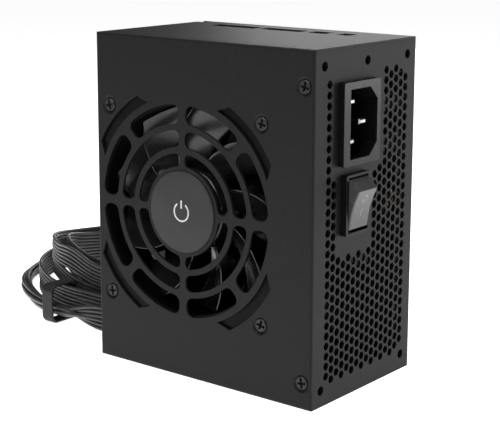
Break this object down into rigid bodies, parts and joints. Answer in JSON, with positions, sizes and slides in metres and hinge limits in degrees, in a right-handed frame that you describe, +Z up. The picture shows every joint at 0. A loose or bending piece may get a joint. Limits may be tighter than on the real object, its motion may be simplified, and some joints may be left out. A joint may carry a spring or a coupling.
{
  "type": "computer power supply unit",
  "caption": "Compact box-shaped computer power supply with a fan behind a ring grille, a mains inlet, a rocker switch, a honeycomb vent and flat output cables.",
  "frame": {"origin": "centre of the bottom face that the case rests on", "axes": "+Z up, +X towards the mains inlet end, -Y towards the fan side"},
  "size_m": [0.2225, 0.1991, 0.125],
  "materials": {
    "case_paint": "fine satin powder coat",
    "screw_black": "black zinc",
    "badge_plate": "satin",
    "fan_plastic": "matt moulded",
    "blade_plastic": "gloss moulded",
    "bronze": "sintered",
    "steel": "plain",
    "copper": "enamelled wire",
    "board": "solder mask",
    "magnet": "bonded ferrite",
    "inlet_plastic": "fine moulded grain",
    "pin_metal": "nickel plate",
    "rocker_plastic": "fine grain",
    "brass": "turned",
    "insulator": "clear film",
    "capacitor_sleeve": "shrink sleeve",
    "ferrite": "dull",
    "heatsink": "extruded",
    "epoxy": "moulded epoxy",
    "film_case": "moulded",
    "fuse_glass": "clear",
    "wire_black": "satin insulation",
    "plug_plastic": "moulded",
    "lead_brown": "satin insulation",
    "lead_green": "satin insulation",
    "tie_plastic": "woven strap"
  },
  "bodies": {
    "chassis": {"fan_cover": "case_paint", "chassis_tub": "case_paint", "mains_panel": "case_paint", "fan_screws": "screw_black", "cover_screws": "screw_black", "grille_badge": "badge_plate", "fan_frame": "fan_plastic", "fan_bearing": "bronze", "fan_stator": "copper", "fan_motor_board": "board", "inlet_housing": "inlet_plastic", "inlet_pins": "pin_metal", "switch_frame": "inlet_plastic", "switch_terminals": "pin_metal", "main_board": "board", "board_standoffs": "brass", "board_screws": "steel", "insulating_sheet": "insulator", "bulk_capacitor": "capacitor_sleeve", "output_capacitors": "capacitor_sleeve", "main_transformer": "ferrite", "boost_choke": "ferrite", "standby_transformer": "ferrite", "filter_choke": "copper", "output_choke": "copper", "primary_heatsink": "heatsink", "secondary_heatsink": "heatsink", "primary_transistors": "epoxy", "secondary_rectifiers": "epoxy", "bridge_rectifier": "epoxy", "film_capacitors": "film_case", "control_board": "board", "fuse": "fuse_glass", "cable_grommet": "inlet_plastic", "inner_output_wires": "wire_black", "ribbon_cable_upper": "wire_black", "ribbon_cable_front": "wire_black", "ribbon_cable_lower": "wire_black", "drive_lead": "wire_black", "drive_lead_end": "wire_black", "motherboard_plug": "plug_plastic", "processor_plug": "plug_plastic", "drive_plug_middle": "plug_plastic", "drive_plug_end": "plug_plastic", "mains_leads": "lead_brown", "earth_lead": "lead_green", "earth_stud": "steel", "fan_lead": "wire_black", "cable_tie_front": "tie_plastic", "cable_tie_back": "tie_plastic"},
    "fan_rotor": {"fan_impeller": "blade_plastic", "fan_shaft": "steel", "magnet_ring": "magnet"},
    "rocker": {"switch_rocker": "rocker_plastic"}
  },
  "joints": [
    {"name": "fan_spin", "type": "hinge", "parent": "chassis", "child": "fan_rotor", "pos_m": [-0.0078, -0.022, 0.06245], "axis": [0, -1, 0], "continuous": true},
    {"name": "power_rocker", "type": "hinge", "parent": "chassis", "child": "rocker", "pos_m": [0.049, -0.0079, 0.06985], "axis": [0, -1, 0], "range_deg": [0, 32]}
  ]
}
